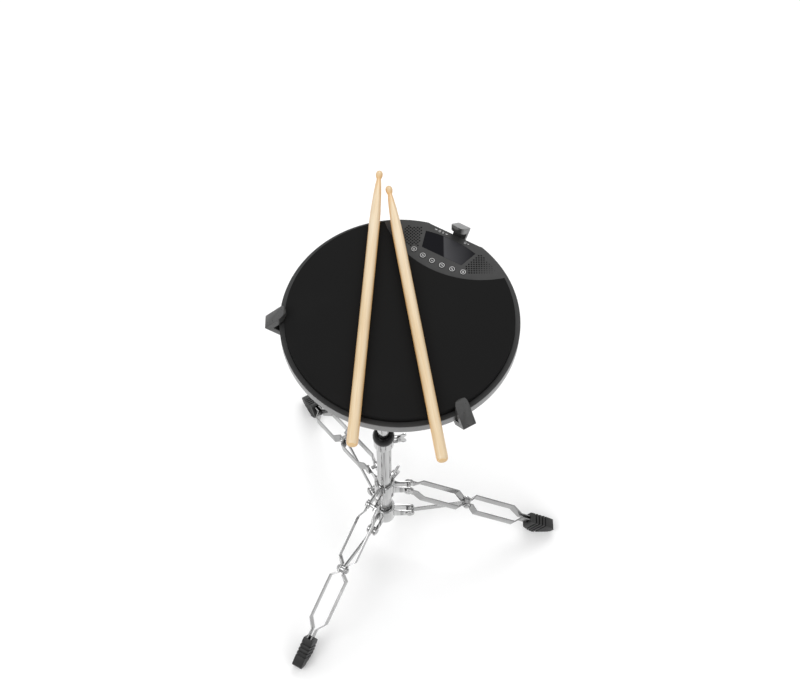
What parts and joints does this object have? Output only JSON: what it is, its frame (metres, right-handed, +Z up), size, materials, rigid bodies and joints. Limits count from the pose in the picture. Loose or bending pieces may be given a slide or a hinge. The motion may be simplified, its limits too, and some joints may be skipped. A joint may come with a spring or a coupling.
{
  "type": "electronic practice pad on a folding stand",
  "caption": "Round electronic drum practice pad with a control panel, held by rubber grips on a folding chrome tripod stand, with wooden sticks lying across it.",
  "frame": {"origin": "middle of the footprint, on the floor", "axes": "+Z up along the stand's tube; +X from the tube towards leg 1 and the pad's middle"},
  "size_m": [0.4254, 0.4906, 0.6997],
  "materials": {
    "chrome": "polished",
    "casing": "fine grain",
    "shell": "silver paint",
    "playing_rubber": "matt",
    "grip_rubber": "matt",
    "foot_rubber": "matt",
    "black_plastic": "satin",
    "window": "gloss",
    "maple": "thin lacquer",
    "circuit": "solder mask",
    "battery": "satin"
  },
  "bodies": {
    "base": {"outer_tube": "chrome", "lower_collar": "chrome", "height_bushing": "black_plastic", "height_clamp": "chrome"},
    "leg_collar": {"upper_collar": "chrome"},
    "collar_screw": {"collar_wing_bolt": "chrome"},
    "height_screw": {"height_wing_screw": "chrome"},
    "leg_1": {"leg_1_strip_left": "chrome", "leg_1_strip_right": "chrome", "foot_1": "foot_rubber", "leg_rivet_1": "chrome", "mid_bolt_1": "chrome", "mid_nut_1": "chrome"},
    "leg_2": {"leg_2_strip_left": "chrome", "leg_2_strip_right": "chrome", "foot_2": "foot_rubber", "leg_rivet_2": "chrome", "mid_bolt_2": "chrome", "mid_nut_2": "chrome"},
    "leg_3": {"leg_3_strip_left": "chrome", "leg_3_strip_right": "chrome", "foot_3": "foot_rubber", "leg_rivet_3": "chrome", "mid_bolt_3": "chrome", "mid_nut_3": "chrome"},
    "brace_link_1": {"brace_1": "chrome", "brace_rivet_1": "chrome"},
    "brace_link_2": {"brace_2": "chrome", "brace_rivet_2": "chrome"},
    "brace_link_3": {"brace_3": "chrome", "brace_rivet_3": "chrome"},
    "upper_column": {"inner_tube": "chrome", "tilter_base": "chrome"},
    "tilt_screw": {"tilter_wing_screw": "chrome"},
    "basket": {"tilter_head": "chrome", "basket_hub": "chrome", "top_casing": "casing", "base_shell": "shell", "playing_rubber": "playing_rubber", "display_window": "window", "circuit_board": "circuit", "speaker_left": "black_plastic", "speaker_right": "black_plastic", "battery_pack": "battery", "socket_block": "black_plastic"},
    "knob": {"basket_knob": "black_plastic"},
    "arm_1": {"basket_arm_1": "chrome", "rubber_grip_1": "grip_rubber"},
    "arm_2": {"basket_arm_2": "chrome", "rubber_grip_2": "grip_rubber"},
    "arm_3": {"basket_arm_3": "chrome", "rubber_grip_3": "grip_rubber"},
    "key_1": {"panel_key_1": "casing"},
    "key_2": {"panel_key_2": "casing"},
    "key_3": {"panel_key_3": "casing"},
    "key_4": {"panel_key_4": "casing"},
    "key_5": {"panel_key_5": "casing"},
    "key_6": {"panel_key_6": "casing"},
    "left_stick": {"stick_left": "maple"},
    "right_stick": {"stick_right": "maple"}
  },
  "joints": [
    {"name": "leg_collar_slide", "type": "slide", "parent": "base", "child": "leg_collar", "axis": [0, 0, 1], "range_m": [0, 0.1127]},
    {"name": "leg_1_fold", "type": "hinge", "parent": "leg_collar", "child": "leg_1", "pos_m": [-0.02769, 0, 0.163], "axis": [0, 1, 0], "range_deg": [0, 46.8]},
    {"name": "leg_2_fold", "type": "hinge", "parent": "leg_collar", "child": "leg_2", "pos_m": [-0.08469, 0.03291, 0.163], "axis": [-0.866, -0.5, 0], "range_deg": [0, 46.8]},
    {"name": "leg_3_fold", "type": "hinge", "parent": "leg_collar", "child": "leg_3", "pos_m": [-0.08469, -0.03291, 0.163], "axis": [0.866, -0.5, 0], "range_deg": [0, 46.8]},
    {"name": "brace_1_fold", "type": "hinge", "parent": "base", "child": "brace_link_1", "pos_m": [-0.02569, 0, 0.072], "axis": [0, -1, 0], "range_deg": [0, 61.4]},
    {"name": "brace_2_fold", "type": "hinge", "parent": "base", "child": "brace_link_2", "pos_m": [-0.08569, 0.03464, 0.072], "axis": [0.866, 0.5, 0], "range_deg": [0, 61.4]},
    {"name": "brace_3_fold", "type": "hinge", "parent": "base", "child": "brace_link_3", "pos_m": [-0.08569, -0.03464, 0.072], "axis": [-0.866, 0.5, 0], "range_deg": [0, 61.4]},
    {"name": "height_slide", "type": "slide", "parent": "base", "child": "upper_column", "axis": [0, 0, 1], "range_m": [-0.17, 0.05]},
    {"name": "basket_tilt", "type": "hinge", "parent": "upper_column", "child": "basket", "pos_m": [-0.04169, 0, 0.584], "axis": [1, 0, 0], "range_deg": [-35, 35]},
    {"name": "height_screw_turn", "type": "hinge", "parent": "base", "child": "height_screw", "pos_m": [-0.06569, 0, 0.3265], "axis": [0.9848, 0.1736, 0], "range_deg": [0, 360]},
    {"name": "collar_screw_turn", "type": "hinge", "parent": "leg_collar", "child": "collar_screw", "pos_m": [-0.06569, 0, 0.176], "axis": [0.6691, 0.7431, 0], "range_deg": [0, 360]},
    {"name": "tilt_screw_turn", "type": "hinge", "parent": "upper_column", "child": "tilt_screw", "pos_m": [-0.06569, 0, 0.584], "axis": [-1, 0, 0], "range_deg": [0, 360]},
    {"name": "knob_turn", "type": "hinge", "parent": "basket", "child": "knob", "pos_m": [-0.04169, 0, 0.61], "axis": [0, 0, 1], "range_deg": [0, 720]},
    {"name": "arm_1_slide", "type": "slide", "parent": "basket", "child": "arm_1", "axis": [0.5, 0.866, 0], "range_m": [0, 0.008]},
    {"name": "arm_2_slide", "type": "slide", "parent": "basket", "child": "arm_2", "axis": [-1, 0, 0], "range_m": [0, 0.008]},
    {"name": "arm_3_slide", "type": "slide", "parent": "basket", "child": "arm_3", "axis": [0.5, -0.866, 0], "range_m": [0, 0.008]},
    {"name": "key_1_press", "type": "slide", "parent": "basket", "child": "key_1", "axis": [0, 0, -1], "range_m": [0, 0.0008], "stiffness_N_per_m": 400},
    {"name": "key_2_press", "type": "slide", "parent": "basket", "child": "key_2", "axis": [0, 0, -1], "range_m": [0, 0.0008], "stiffness_N_per_m": 400},
    {"name": "key_3_press", "type": "slide", "parent": "basket", "child": "key_3", "axis": [0, 0, -1], "range_m": [0, 0.0008], "stiffness_N_per_m": 400},
    {"name": "key_4_press", "type": "slide", "parent": "basket", "child": "key_4", "axis": [0, 0, -1], "range_m": [0, 0.0008], "stiffness_N_per_m": 400},
    {"name": "key_5_press", "type": "slide", "parent": "basket", "child": "key_5", "axis": [0, 0, -1], "range_m": [0, 0.0008], "stiffness_N_per_m": 400},
    {"name": "key_6_press", "type": "slide", "parent": "basket", "child": "key_6", "axis": [0, 0, -1], "range_m": [0, 0.0008], "stiffness_N_per_m": 400},
    {"name": "left_stick_lift", "type": "slide", "parent": "basket", "child": "left_stick", "axis": [0, 0, 1], "range_m": [0, 0.12]},
    {"name": "right_stick_lift", "type": "slide", "parent": "basket", "child": "right_stick", "axis": [0, 0, 1], "range_m": [0, 0.12]}
  ],
  "couplings": [
    {"joint": "leg_1_fold", "follows": "leg_collar_slide", "rad_per_m": 7.2336},
    {"joint": "leg_2_fold", "follows": "leg_collar_slide", "rad_per_m": 7.2336},
    {"joint": "leg_3_fold", "follows": "leg_collar_slide", "rad_per_m": 7.2336},
    {"joint": "brace_1_fold", "follows": "leg_collar_slide", "rad_per_m": 9.4936},
    {"joint": "brace_2_fold", "follows": "leg_collar_slide", "rad_per_m": 9.4936},
    {"joint": "brace_3_fold", "follows": "leg_collar_slide", "rad_per_m": 9.4936},
    {"joint": "arm_1_slide", "follows": "knob_turn", "m_per_rad": 0.0006366},
    {"joint": "arm_2_slide", "follows": "knob_turn", "m_per_rad": 0.0006366},
    {"joint": "arm_3_slide", "follows": "knob_turn", "m_per_rad": 0.0006366}
  ]
}
